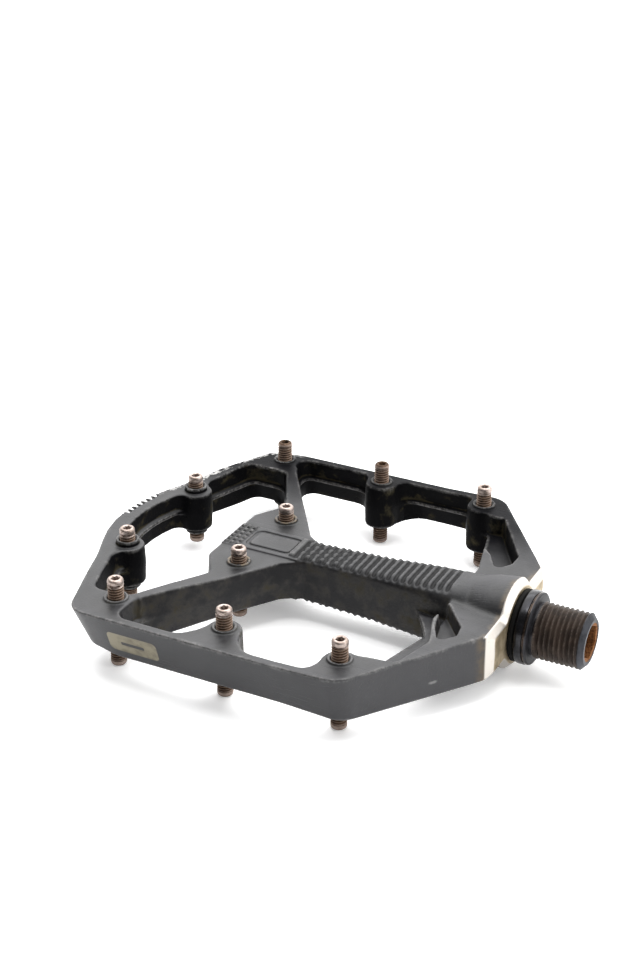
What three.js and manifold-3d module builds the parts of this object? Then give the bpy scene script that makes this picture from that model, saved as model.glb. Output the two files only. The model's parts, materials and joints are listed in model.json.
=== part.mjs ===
// A flat bicycle pedal. A forged alloy body with ten grub-screw pins on each side turns on a steel
// spindle, which runs in a plain bush at the crank end and in a small ball bearing further out.
//
// Millimetres, +Z up, +X along the spindle towards the crank. X is counted from the spindle's
// shoulder, which seats on the crank arm; the finished group is moved so that its origin is the
// middle of the whole pedal. The body looks the same after half a turn about the spindle.

import * as THREE from "three";
import { mergeVertices } from "three/addons/utils/BufferGeometryUtils.js";
import Module from "manifold-3d";

const wasm = await Module();
wasm.setup();

// ---- Driving dimensions ----------------------------------------------------------------------

const threadEnd = 13.5;
const apexX = -117;
const middleX = (threadEnd + apexX) / 2;

// Body: the outer walls lean, so the top outline sits lean mm to one side of the mid outline.
const frameHalfHeight = 6.3;
const halfWidth = 51.6;
const wallLean = 2.2;
const cornerTuck = 2;
const faceX = -4.8;
const faceHalfWidth = 16.3;
const faceChamfer = 1.6;
const shoulderCornerX = -28.6;
const sideCornerX = -100.4;
const railWidth = 2.7;
const platformHalfHeight = 5.4;
const platformX = -85;
const blockEdgeY = 39.5;
const blockEdgeX = -88.5;
const webX = -20.5;
const recessFloor = 0.8;

// Spindle housing: a ribbed bar that grows rounder towards the crank and ends in a round hub.
const tubeStations = [
  { x: -66, halfWidth: 5.3, halfHeight: 6.6, corner: 1.6 },
  { x: -42, halfWidth: 5.8, halfHeight: 7.25, corner: 2 },
  { x: -28, halfWidth: 7, halfHeight: 8.3, corner: 3.4 },
  { x: -20.5, halfWidth: 8.3, halfHeight: 8.8, corner: 6 },
  { x: -17, halfWidth: 8.6, halfHeight: 9, corner: 7 },
];
const tubeFrom = tubeStations[0].x;
const ridgePitch = 2;
const ridgeDepth = 0.8;
const hubRadius = 11.5;

// Pins: M4 grub screws, standing out of a low round boss.
const pinRadius = 1.95;
const pinHoleRadius = 2.12;
const pinInnerEnd = 0.4;
const pinSocketFlats = 2;
const bossRadius = 3;
const lugRadius = 4.4;
const sidePinY = 44;
const framePinBase = 7;
const platformPinBase = 5.9;
const pinEdge = 0.45;

// A lug reaches from its pin to the rail, along way, and its half width grows by flare.
const wideFlare = [5.2, 7, 8.6];
const narrowFlare = [4.4, 4.6, 5];
const leftPins = [
  { name: "end", x: -106.2, y: 17.35, base: framePinBase, stand: 3 },
  { name: "corner", x: -92.6, y: sidePinY, base: framePinBase, stand: 5 },
  { name: "side", x: -62.5, y: sidePinY, base: framePinBase, stand: 5 },
  { name: "inner", x: -32.2, y: sidePinY, base: framePinBase, stand: 5 },
  { name: "centre", x: -75.9, y: 12.9, base: platformPinBase, stand: 3.9 },
];
const leftLugs = [
  { pin: "end", way: [-0.93, 0.37], flare: wideFlare },
  { pin: "side", way: [0, 1], flare: wideFlare },
  { pin: "inner", way: [0, 1], flare: narrowFlare },
];
const pinPlaces = leftPins.flatMap((pin) => [
  { ...pin, name: `${pin.name}_left` },
  { ...pin, name: `${pin.name}_right`, y: -pin.y },
]);

// Bores in the body, from the crank end outwards, and the pieces that sit in them.
const sealBore = { from: faceX + 1, to: -8.4, radius: 8.4 };
const bushBore = { from: -8.4, to: -18.6, radius: 6.6 };
const spindleBore = { from: -18.6, to: -61.8, radius: 5.4, endRadius: 4.3 };
const outerBore = { from: -61.8, to: platformX - 1, radius: 4.5 };
const runningGap = 0.1;
const seatGap = 0.06;

const threadRadius = 7.1;
const neckRadius = 6.4;
const collarRadius = 9.3;
const collarLength = 3.25;
const sealSeatRadius = 7.2;
const journalRadius = 5.5;
const journalEnd = -18.3;
const taperStart = 4.9;
const taperEnd = 3.8;
const bearingSeatRadius = 2.45;
const bearingFrom = -65;
const bearingTo = -62;
const bearingBallRadius = 0.6;
const bearingPitchRadius = 3.5;
const bearingBalls = 7;
const cage = { halfWidth: 1, inner: 3.28, outer: 3.72, window: 0.68 };
const washer = { from: -65.1, to: -65.7, inner: 2.55, outer: 3.05 };
const nut = { flats: 7, thickness: 2.8, hole: 2.55, middle: -67.3 };
const cap = { from: -79.2, noseRadius: 4.2, grooveRadius: 3.4, grooveFrom: -80.8, grooveTo: -82, key: 4 };
const oRing = { x: -81.4, radius: 3.9, thickness: 0.46 };
const crankKeyFlats = 8;
const crankKeyDepth = 7;
const threadChamfer = 1.2;

const roundSteps = 32;
const smallRoundSteps = 24;
const cornerStep = Math.PI / 12;
const longestEdge = 12;

// ---- Solids from three.js geometry -----------------------------------------------------------

function solid(geometry) {
  geometry.deleteAttribute("normal");
  geometry.deleteAttribute("uv");
  const merged = mergeVertices(geometry, 1e-4);
  return new wasm.Manifold(
    new wasm.Mesh({
      numProp: 3,
      vertProperties: new Float32Array(merged.attributes.position.array),
      triVerts: new Uint32Array(merged.index.array),
    }),
  );
}

function geometryOf(piece) {
  const mesh = piece.getMesh();
  const geometry = new THREE.BufferGeometry();
  geometry.setAttribute("position", new THREE.BufferAttribute(mesh.vertProperties, 3));
  geometry.setIndex(new THREE.BufferAttribute(mesh.triVerts, 1));
  geometry.computeVertexNormals();
  return geometry;
}

function join(pieces) {
  return pieces.reduce((whole, piece) => whole.add(piece));
}

// Moves every vertex by a rule, such as the lean of the outer walls.
function reshape(geometry, rule) {
  const places = geometry.attributes.position;
  const vertex = new THREE.Vector3();
  for (let i = 0; i < places.count; i++) {
    vertex.fromBufferAttribute(places, i);
    rule(vertex);
    places.setXYZ(i, vertex.x, vertex.y, vertex.z);
  }
  return geometry;
}

// A closed outline through corners [x, y, radius], with each corner rounded as an arc.
function roundedOutline(corners) {
  const points = [];
  const count = corners.length;
  corners.forEach(([x, y, radius = 0], i) => {
    const corner = new THREE.Vector2(x, y);
    const [backX, backY] = corners[(i + count - 1) % count];
    const [nextX, nextY] = corners[(i + 1) % count];
    const back = new THREE.Vector2(backX, backY).sub(corner).normalize();
    const next = new THREE.Vector2(nextX, nextY).sub(corner).normalize();
    const halfAngle = Math.acos(THREE.MathUtils.clamp(back.dot(next), -1, 1)) / 2;
    if (radius === 0) {
      points.push(corner);
      return;
    }
    const centreWay = back.clone().add(next).normalize();
    const centre = centreWay.clone().multiplyScalar(radius / Math.sin(halfAngle)).add(corner);
    const reach = radius / Math.tan(halfAngle);
    const first = back.multiplyScalar(reach).add(corner).sub(centre);
    const last = next.multiplyScalar(reach).add(corner).sub(centre);
    const turn = Math.atan2(first.cross(last), first.dot(last));
    const steps = Math.max(1, Math.ceil(Math.abs(turn) / cornerStep));
    for (let s = 0; s <= steps; s++) {
      const spoke = first.clone().rotateAround(new THREE.Vector2(), (turn * s) / steps);
      points.push(spoke.add(centre));
    }
  });
  return points;
}

// Splits long straight edges, so that a leaning wall can follow its rule.
function splitEdges(points) {
  return points.flatMap((start, i) => {
    const end = points[(i + 1) % points.length];
    const parts = Math.ceil(start.distanceTo(end) / longestEdge);
    return Array.from({ length: parts }, (_, p) => start.clone().lerp(end, p / parts));
  });
}

// The half outline for positive Y, followed by its mirror image.
function bothSides(half) {
  const mirrored = half.filter(([, y]) => y !== 0).map(([x, y, radius]) => [x, -y, radius]);
  return [...half, ...mirrored.reverse()];
}

function extruded(corners, low, high) {
  const shape = new THREE.Shape(splitEdges(roundedOutline(corners)));
  const geometry = new THREE.ExtrudeGeometry(shape, { depth: high - low, bevelEnabled: false });
  return geometry.translate(0, 0, low);
}

function prism(corners, low, high) {
  return solid(extruded(corners, low, high));
}

// The walls lean fully on the outer half of the body and stand upright at the crank end.
function leaning(vertex) {
  const share = THREE.MathUtils.clamp((faceX - vertex.x) / 40, 0.12, 1);
  vertex.y -= (wallLean * share * vertex.z) / frameHalfHeight;
}

// The outer corners tuck in further, at the top of one side and at the foot of the other.
function tuckedCorners(vertex) {
  const outwards = THREE.MathUtils.smoothstep(-vertex.x, 88, 99);
  const corner = outwards * THREE.MathUtils.smoothstep(Math.abs(vertex.y), 28, 45);
  const wall = outwards * THREE.MathUtils.smoothstep(Math.abs(vertex.y), 47, halfWidth);
  const side = Math.sign(vertex.y);
  const share = vertex.z * side > 0 ? 1 : 0;
  vertex.x += cornerTuck * corner * share;
  vertex.y -= cornerTuck * wall * share * side;
  leaning(vertex);
}

function leaningPrism(corners, low, high) {
  return solid(reshape(extruded(corners, low, high), leaning));
}

// A turned piece about the spindle's axis, from its profile [x, radius] with X falling.
function turnedGeometry(profile, steps = roundSteps) {
  const points = [...profile].reverse().map(([x, radius]) => new THREE.Vector2(radius, x));
  const geometry = new THREE.LatheGeometry(points, steps);
  geometry.rotateZ(-Math.PI / 2);
  geometry.deleteAttribute("normal");
  geometry.deleteAttribute("uv");
  const merged = mergeVertices(geometry, 1e-4);
  merged.computeVertexNormals();
  return merged;
}

function turned(profile, steps) {
  return solid(turnedGeometry(profile, steps));
}

// A ring of rectangular section about the axis.
function sleeve(from, to, inner, outer, edge = 0) {
  return [
    [from, inner],
    [from, outer - edge],
    [from - edge, outer],
    [to + edge, outer],
    [to, outer - edge],
    [to, inner],
    [from, inner],
  ].filter(([x, r], i, all) => i === 0 || x !== all[i - 1][0] || r !== all[i - 1][1]);
}

function post(x, y, radius, low, high, steps = 16) {
  const geometry = new THREE.CylinderGeometry(radius, radius, high - low, steps);
  geometry.rotateX(Math.PI / 2);
  geometry.translate(x, y, (low + high) / 2);
  return solid(geometry);
}

// A hexagonal key socket, as a prism along Z that is flats wide.
function keySocket(flats, low, high) {
  const geometry = new THREE.CylinderGeometry(flats / Math.sqrt(3), flats / Math.sqrt(3), high - low, 6);
  geometry.rotateX(Math.PI / 2);
  return geometry.translate(0, 0, (low + high) / 2);
}

// ---- Body ------------------------------------------------------------------------------------

const bodyOutline = bothSides([
  [faceX, faceHalfWidth, 0],
  [faceX - 1.4, faceHalfWidth + 2.5, 0],
  [shoulderCornerX, halfWidth, 7],
  [sideCornerX, halfWidth, 6],
  [-109.5, 25.2, 30],
  [apexX - 3.9, 0, 41],
]);

// Everything inside the rails, with the solid corner blocks of the outer side pins left out.
const openingOutline = bothSides([
  [webX, 12, 0],
  [shoulderCornerX + 0.8, blockEdgeY + 0.8, 2],
  [-34, halfWidth - railWidth, 2],
  [blockEdgeX, halfWidth - railWidth, 3],
  [blockEdgeX, blockEdgeY, 2],
  [-100.6, blockEdgeY, 3],
  [apexX + 3, 0, 33],
]);

const armOutline = bothSides([
  [tubeFrom + 4, tubeStations[0].halfWidth, 0],
  [tubeFrom - 0.5, 8.6, 3],
  [-87.6, 41, 0],
  [-90.6, 41, 0],
  [-80, 20.5, 2],
  [platformX, 12, 1],
]);

// The arms rise from the thin platform in the middle to the full height of the frame.
function risingArms(vertex) {
  const rise = THREE.MathUtils.smoothstep(Math.abs(vertex.y), 18, 38);
  const height = THREE.MathUtils.lerp(platformHalfHeight, frameHalfHeight, rise);
  vertex.z = Math.sign(vertex.z) * height;
}

// A bar along X whose rounded rectangular section follows the stations.
function housingTube() {
  const spans = tubeStations.length - 1;
  const spokes = 16;
  const geometry = new THREE.CylinderGeometry(1, 1, spans, spokes, spans).rotateZ(-Math.PI / 2);
  reshape(geometry, (vertex) => {
    const { x, halfWidth, halfHeight, corner } = tubeStations[Math.round(vertex.x + spans / 2)];
    vertex.x = x;
    if (Math.hypot(vertex.y, vertex.z) < 0.5) {
      return;
    }
    const turn = Math.atan2(vertex.z, vertex.y) / (2 * Math.PI) + 1;
    const spoke = Math.round(turn * spokes) % spokes;
    const angle = Math.floor(spoke / 4) * (Math.PI / 2) + (spoke % 4) * (Math.PI / 6);
    const middle = (Math.floor(spoke / 4) + 0.5) * (Math.PI / 2);
    vertex.y = Math.sign(Math.cos(middle)) * (halfWidth - corner) + corner * Math.cos(angle);
    vertex.z = Math.sign(Math.sin(middle)) * (halfHeight - corner) + corner * Math.sin(angle);
  });
  return solid(geometry).subtract(join([...tubeGrooves(1), ...tubeGrooves(-1)]));
}

function tubeHeightAt(x) {
  const next = tubeStations.findIndex((station) => station.x >= x);
  const [before, after] = [tubeStations[next - 1], tubeStations[next]];
  return THREE.MathUtils.mapLinear(x, before.x, after.x, before.halfHeight, after.halfHeight);
}

// V grooves across the top or the bottom of the housing.
function tubeGrooves(side) {
  const grooves = [];
  for (let x = tubeFrom + 2.6; x < webX; x += ridgePitch) {
    grooves.push(groove(x, tubeHeightAt(x) * side, ridgePitch * 0.4, ridgeDepth));
  }
  return grooves;
}

function groove(x, crest, half, depth) {
  const inwards = -Math.sign(crest);
  const tool = new THREE.CylinderGeometry(1, 1, 24, 4);
  tool.scale(half * 1.4, 1, depth);
  return solid(tool.translate(x, 0, crest)).translate([0, 0, inwards * 0.05]);
}

// A lug carries a pin inside the rail and flares out to meet it.
function lug(x, y, way, flare) {
  const [outX, outY] = way;
  const across = [-outY, outX];
  const edge = [
    [0, lugRadius * 0.96],
    [2.6, flare[0]],
    [5, flare[1]],
    [6.6, flare[2]],
  ];
  const place = ([out, side]) => [x + outX * out + across[0] * side, y + outY * out + across[1] * side, 0];
  const left = edge.map(([out, side]) => place([out, side]));
  const right = edge.map(([out, side]) => place([out, -side])).reverse();
  const web = prism([...left, ...right], -frameHalfHeight, frameHalfHeight);
  return web.add(post(x, y, lugRadius, -frameHalfHeight, frameHalfHeight, 24));
}

function lugs() {
  return join(
    leftLugs.flatMap(({ pin, way, flare }) => {
      const { x, y } = leftPins.find(({ name }) => name === pin);
      return [1, -1].map((side) => lug(x, side * y, [way[0], side * way[1]], flare));
    }),
  );
}

function hub() {
  return turned([
    [faceX, 0],
    [faceX, hubRadius - faceChamfer],
    [faceX - faceChamfer, hubRadius],
    [-12, 10.8],
    [-18, 9.2],
    [webX, 8],
    [webX, 0],
  ]);
}

// The wedge that is cut along the top and bottom edges of the face at the crank end.
function faceWedge(side) {
  const reach = faceChamfer * 3;
  const section = [
    [faceX + reach, side * (frameHalfHeight - faceChamfer - reach), 0],
    [faceX + reach, side * (frameHalfHeight + reach), 0],
    [faceX - faceChamfer - reach, side * (frameHalfHeight + reach), 0],
  ];
  const geometry = extruded(side > 0 ? section : section.reverse(), -halfWidth, halfWidth);
  return solid(geometry.rotateX(Math.PI / 2));
}

// Blind recesses in the web at the crank end, on one face: a long one on the side of positive Y,
// and on the other side a small one and the shallow end of the large opening.
function webRecesses() {
  const long = prism(
    [
      [-31, 38.8, 0],
      [-24.4, 38.8, 0.5],
      [-14, 21.4, 1.5],
      [-14.1, 17, 1.5],
      [-16.6, 13.3, 1],
      [-20, 19.3, 1],
      [-23.6, 23, 0],
      [-31, 30, 0],
    ],
    recessFloor,
    frameHalfHeight + 1,
  );
  const small = prism(
    [
      [-20.6, -8.6, 0.4],
      [-13.6, -17.6, 1.5],
      [-13, -21.5, 1.2],
      [-15.8, -25.4, 1],
      [-18.6, -20, 2],
      [-20.6, -12.5, 1],
    ],
    2,
    frameHalfHeight + 1,
  );
  const pocketEnd = prism(
    [
      [-33, -4, 0],
      [-33, -36, 0],
      [-30, -39.7, 0],
      [-20.8, -38.7, 2.5],
      [-17.8, -27, 3],
      [-21.2, -17, 5],
      [-21.2, -10, 1],
      [webX, -7, 0],
    ],
    recessFloor,
    frameHalfHeight + 1,
  );
  return join([long, small, pocketEnd]);
}

// Thin webs at half height in the corners between the housing and the end of the openings.
function gussets() {
  const half = [
    [-31, 4, 0],
    [-25.2, 12.4, 2],
    [-21.9, 18.5, 4],
    [-22.6, 24, 0],
    [-20, 20, 0],
    [-20, 4, 0],
  ];
  return [1, -1].map((side) => {
    const corners = half.map(([x, y, radius]) => [x, side * y, radius]);
    return prism(corners, -recessFloor, recessFloor);
  });
}

function halfTurned(piece) {
  return piece.rotate([180, 0, 0]);
}

function bore({ from, to, radius, endRadius = radius }) {
  return turned([
    [from, 0],
    [from, radius],
    [to, endRadius],
    [to, 0],
  ]);
}

function bodySolid() {
  const wedges = faceWedge(1).add(faceWedge(-1));
  const block = solid(reshape(extruded(bodyOutline, -frameHalfHeight, frameHalfHeight), tuckedCorners));
  const recesses = webRecesses();
  const frame = block
    .subtract(leaningPrism(openingOutline, -frameHalfHeight - 1, frameHalfHeight + 1))
    .subtract(join([wedges, recesses, halfTurned(recesses)]));
  const arms = solid(reshape(extruded(armOutline, -frameHalfHeight, frameHalfHeight), risingArms));
  const bosses = pinPlaces.map(({ x, y, base }) => post(x, y, bossRadius, -base, base));
  const webs = [arms, housingTube(), lugs().intersect(block), hub(), ...gussets()];
  const whole = join([frame, ...webs, ...bosses]);
  const holes = pinPlaces.map(({ x, y }) => post(x, y, pinHoleRadius, -10, 10, 12));
  const bores = [sealBore, bushBore, spindleBore, outerBore].map(bore);
  return whole.subtract(join([...holes, ...bores]));
}

// ---- Pins ------------------------------------------------------------------------------------

// A grub screw standing on its inner end, with its key socket in the exposed end.
function pinGeometry(tip) {
  const profile = [
    new THREE.Vector2(0, pinInnerEnd),
    new THREE.Vector2(pinRadius, pinInnerEnd),
    new THREE.Vector2(pinRadius, tip - pinEdge),
    new THREE.Vector2(pinRadius - pinEdge, tip),
    new THREE.Vector2(0, tip),
  ];
  const shank = solid(new THREE.LatheGeometry(profile, 12).rotateX(Math.PI / 2));
  return geometryOf(shank.subtract(solid(keySocket(pinSocketFlats, tip - 2, tip + 1))));
}

// ---- Spindle and bearings --------------------------------------------------------------------

function spindleGeometry() {
  const shank = turned([
    [threadEnd, 0],
    [threadEnd, threadRadius - threadChamfer],
    [threadEnd - threadChamfer, threadRadius],
    [3, threadRadius],
    [2.2, neckRadius],
    [0, neckRadius],
    [0, collarRadius - 0.6],
    [-0.6, collarRadius],
    [-collarLength + 0.4, collarRadius],
    [-collarLength, collarRadius - 0.4],
    [-collarLength, sealSeatRadius],
    [bushBore.from + 0.3, sealSeatRadius],
    [bushBore.from + 0.3, journalRadius],
    [journalEnd, journalRadius],
    [journalEnd - 1, taperStart],
    [-60, taperEnd],
    [-60.5, 3],
    [bearingTo + 0.02, 3],
    [bearingTo + 0.02, bearingSeatRadius],
    [-70.4, bearingSeatRadius],
    [-70.9, bearingSeatRadius - 0.5],
    [-70.9, 0],
  ]);
  const socket = keySocket(crankKeyFlats, threadEnd - crankKeyDepth, threadEnd + 1).rotateY(Math.PI / 2);
  return geometryOf(shank.subtract(solid(socket)));
}

function sealProfile() {
  return [
    [-collarLength - 0.15, sealSeatRadius + runningGap],
    [-collarLength - 0.15, 8.8],
    [-collarLength - 0.45, 9.1],
    [faceX + 0.15, 9.1],
    [faceX + 0.15, sealBore.radius - 0.15],
    [sealBore.to + 0.2, sealBore.radius - 0.15],
    [sealBore.to + 0.2, sealSeatRadius + runningGap],
    [-collarLength - 0.15, sealSeatRadius + runningGap],
  ];
}

// One ring of the ball bearing, with its raceway groove facing the balls.
function raceProfile(wallRadius, innerSide) {
  const way = innerSide ? -1 : 1;
  const lip = bearingPitchRadius + way * 0.42;
  const middle = (bearingFrom + bearingTo) / 2;
  const grooveRadius = bearingBallRadius + 0.05;
  const groovePoints = [];
  for (let i = 0; i <= 4; i++) {
    const angle = THREE.MathUtils.degToRad(THREE.MathUtils.lerp(45, 135, i / 4));
    groovePoints.push([
      middle + grooveRadius * Math.cos(angle),
      bearingPitchRadius + way * grooveRadius * Math.sin(angle),
    ]);
  }
  const profile = [
    [bearingTo, wallRadius],
    [bearingTo, lip],
    ...groovePoints,
    [bearingFrom, lip],
    [bearingFrom, wallRadius],
    [bearingTo, wallRadius],
  ];
  return innerSide ? profile : profile.reverse();
}

function ballCentre(index) {
  const angle = (2 * Math.PI * index) / bearingBalls;
  const middle = (bearingFrom + bearingTo) / 2;
  return new THREE.Vector3(
    middle,
    bearingPitchRadius * Math.cos(angle),
    bearingPitchRadius * Math.sin(angle),
  );
}

// A thin ring between the races, with a round window for each ball.
function cageGeometry() {
  const middle = (bearingFrom + bearingTo) / 2;
  const profile = sleeve(middle + cage.halfWidth, middle - cage.halfWidth, cage.inner, cage.outer);
  const ring = turned(profile, smallRoundSteps);
  const windows = Array.from({ length: bearingBalls }, (_, i) => {
    const window = new THREE.CylinderGeometry(cage.window, cage.window, 3, 8);
    const angle = (2 * Math.PI * i) / bearingBalls;
    window.rotateX(angle);
    const centre = ballCentre(i);
    return solid(window.translate(centre.x, centre.y, centre.z));
  });
  return geometryOf(ring.subtract(join(windows)));
}

function nutGeometry() {
  const hexagon = keySocket(nut.flats, -nut.thickness / 2, nut.thickness / 2).rotateY(Math.PI / 2);
  const hole = new THREE.CylinderGeometry(nut.hole, nut.hole, nut.thickness + 2, smallRoundSteps);
  const threaded = solid(hexagon).subtract(solid(hole.rotateZ(Math.PI / 2)));
  return geometryOf(threaded.translate([nut.middle, 0, 0]));
}

// The threaded plug that closes the outer end of the bore, with a key socket and an O-ring groove.
function endCapGeometry() {
  const thread = outerBore.radius - 0.12;
  const plug = turned([
    [cap.from, 0],
    [cap.from, cap.noseRadius],
    [cap.grooveFrom, cap.noseRadius],
    [cap.grooveFrom, cap.grooveRadius],
    [cap.grooveTo, cap.grooveRadius],
    [cap.grooveTo, thread],
    [platformX + 0.4, thread],
    [platformX + 0.1, thread - 0.38],
    [platformX + 0.1, 0],
  ]);
  const socket = keySocket(cap.key, -3, 3).rotateY(Math.PI / 2).translate(platformX, 0, 0);
  return geometryOf(plug.subtract(solid(socket)));
}

function oRingProfile() {
  return Array.from({ length: 9 }, (_, i) => {
    const angle = (i % 8) * (Math.PI / 4) + Math.PI / 8;
    return [oRing.x + oRing.thickness * Math.cos(angle), oRing.radius + oRing.thickness * Math.sin(angle)];
  });
}

// ---- Assembly --------------------------------------------------------------------------------

const finishes = {
  blackAlloy: { color: 0x2b2b2e, metalness: 0.6, roughness: 0.45 },
  pinSteel: { color: 0x7d6a5c, metalness: 0.9, roughness: 0.45 },
  spindleSteel: { color: 0x4c433c, metalness: 0.9, roughness: 0.35 },
  rubber: { color: 0x141414, metalness: 0, roughness: 0.8 },
  polymer: { color: 0x4a4436, metalness: 0, roughness: 0.6 },
  bearingSteel: { color: 0xb9bcc0, metalness: 1, roughness: 0.2 },
};

const pedal = new THREE.Group();
pedal.position.x = -middleX;

function addPart(name, geometry, finish, parent = pedal) {
  const mesh = new THREE.Mesh(geometry, new THREE.MeshStandardMaterial(finish));
  mesh.name = name;
  parent.add(mesh);
  return mesh;
}

addPart("pedal_body", geometryOf(bodySolid()), finishes.blackAlloy);

const topPins = new THREE.Group();
const bottomPins = new THREE.Group();
bottomPins.rotation.x = Math.PI;
pedal.add(topPins, bottomPins);
for (const { name, x, y, base, stand } of pinPlaces) {
  for (const [side, group] of [["top", topPins], ["bottom", bottomPins]]) {
    const pin = addPart(`pin_${side}_${name}`, pinGeometry(base + stand), finishes.pinSteel, group);
    pin.position.set(x, y, 0);
  }
}

addPart("spindle", spindleGeometry(), finishes.spindleSteel);
addPart("inner_seal", turnedGeometry(sealProfile()), finishes.rubber);
addPart(
  "inner_bushing",
  turnedGeometry(
    sleeve(bushBore.from - 0.6, bushBore.to + 0.15, journalRadius + runningGap, bushBore.radius - seatGap),
  ),
  finishes.polymer,
);
addPart(
  "bearing_outer_race",
  turnedGeometry(raceProfile(outerBore.radius - seatGap, false), smallRoundSteps),
  finishes.bearingSteel,
);
addPart(
  "bearing_inner_race",
  turnedGeometry(raceProfile(2.5, true), smallRoundSteps),
  finishes.bearingSteel,
);
addPart("bearing_cage", cageGeometry(), finishes.polymer);
for (let i = 0; i < bearingBalls; i++) {
  const ball = new THREE.SphereGeometry(bearingBallRadius, 8, 6);
  addPart(`bearing_ball_${i + 1}`, ball, finishes.bearingSteel).position.copy(ballCentre(i));
}
addPart(
  "lock_washer",
  turnedGeometry(sleeve(washer.from, washer.to, washer.inner, washer.outer), smallRoundSteps),
  finishes.bearingSteel,
);
addPart("lock_nut", nutGeometry(), finishes.bearingSteel);
addPart("end_cap", endCapGeometry(), finishes.blackAlloy);
addPart("end_cap_o_ring", turnedGeometry(oRingProfile(), smallRoundSteps), finishes.rubber);

export default pedal;
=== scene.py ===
"""A worn flat bicycle pedal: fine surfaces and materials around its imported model.

The forged body is a distance field in millimetres, meshed once. Turned pieces are revolved from
profiles. X is counted from the spindle's shoulder, as the record's mount gives it.
"""

import json
import math

import bpy
import numpy as np
import openvdb
from mathutils import Matrix, Vector


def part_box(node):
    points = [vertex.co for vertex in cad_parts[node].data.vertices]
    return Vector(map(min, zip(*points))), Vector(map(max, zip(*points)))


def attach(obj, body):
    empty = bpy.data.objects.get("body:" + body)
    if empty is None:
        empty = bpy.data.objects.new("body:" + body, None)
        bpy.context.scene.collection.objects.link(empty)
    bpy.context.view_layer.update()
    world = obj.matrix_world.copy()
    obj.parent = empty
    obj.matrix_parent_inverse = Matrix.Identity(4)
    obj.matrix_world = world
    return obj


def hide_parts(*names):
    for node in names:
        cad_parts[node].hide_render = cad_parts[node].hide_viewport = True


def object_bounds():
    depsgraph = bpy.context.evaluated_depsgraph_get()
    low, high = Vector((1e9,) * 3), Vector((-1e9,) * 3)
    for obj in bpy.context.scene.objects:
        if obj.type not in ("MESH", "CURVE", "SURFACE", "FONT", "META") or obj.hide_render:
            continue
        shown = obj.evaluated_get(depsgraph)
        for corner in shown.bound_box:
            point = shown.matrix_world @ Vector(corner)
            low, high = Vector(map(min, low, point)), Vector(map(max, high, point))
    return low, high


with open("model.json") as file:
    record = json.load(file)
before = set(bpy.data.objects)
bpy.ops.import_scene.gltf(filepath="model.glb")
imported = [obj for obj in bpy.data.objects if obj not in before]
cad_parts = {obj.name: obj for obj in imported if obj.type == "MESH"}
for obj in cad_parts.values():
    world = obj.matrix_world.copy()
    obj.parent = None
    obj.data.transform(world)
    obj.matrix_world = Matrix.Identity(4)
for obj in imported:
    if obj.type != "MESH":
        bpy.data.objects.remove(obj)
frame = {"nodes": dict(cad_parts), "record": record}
cad_low, cad_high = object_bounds()

MM = 0.001
SHOULDER = frame["record"]["mounts"][0]["pos_m"][0]
PEDAL, SPINDLE, BALLS = "pedal_group", "spindle_group", "ball_ring"

# ---- Body sizes, in millimetres, X from the shoulder ----

BODY_LOW, BODY_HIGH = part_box("pedal_body")
FACE_X = (BODY_HIGH.x - SHOULDER) / MM
APEX_X = (BODY_LOW.x - SHOULDER) / MM
HALF_HEIGHT = 6.3
LEAN = 2.2
HALF_WIDTH = BODY_HIGH.y / MM - LEAN
RAIL = 2.7
PLATFORM_HEIGHT = 5.4
PLATFORM_X = -85.0
BLOCK_X, BLOCK_Y = -88.5, 39.5
WEB_X, WEB_HALF = -20.5, 0.8
CORNER_TUCK = 2.0
FACE_CHAMFER = 1.6
HUB_RADIUS = BODY_HIGH.z / MM
TUBE_X = (-66.0, -42.0, -28.0, -20.5, -17.0)
TUBE_HALF_WIDTH = (5.3, 5.8, 7.0, 8.3, 8.6)
TUBE_HALF_HEIGHT = (6.6, 7.25, 8.3, 8.8, 9.0)
TUBE_CORNER = (1.6, 2.0, 3.4, 6.0, 7.0)
TUBE_FROM, TUBE_TO = TUBE_X[0], TUBE_X[-1]
RIDGE_PITCH, RIDGE_DEPTH = 2.0, 0.8
LUG_RADIUS = 4.3
TOOTH_PITCH = 1.9
BOSS_RADIUS = 3.0
PIN_RADIUS = 2.0
VOXEL = 0.3
MARGIN = 1.5


def pin_nodes():
    """Name, place in plan and tip height of every pin, in millimetres from the shoulder."""
    pins = []
    for name in sorted(n for n in frame["nodes"] if n.startswith("pin_")):
        low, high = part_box(name)
        middle = (low + high) / 2
        tip = high.z if "_top_" in name else low.z
        pins.append((name, (middle.x - SHOULDER) / MM, middle.y / MM, tip / MM))
    return pins


PINS = pin_nodes()

# ---- Distance field helpers ----


def smooth_min(a, b, blend):
    """Union of two distances, with a fillet about as wide as blend."""
    share = np.clip(0.5 + 0.5 * (b - a) / blend, 0, 1)
    return b + (a - b) * share - blend * share * (1 - share)


def smooth_max(a, b, blend):
    return -smooth_min(-a, -b, blend)


def smooth_step(low, high, value):
    """0 at low, 1 at high and smooth between; low may be the larger one."""
    t = np.clip((value - low) / (high - low), 0, 1)
    return t * t * (3 - 2 * t)


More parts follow.
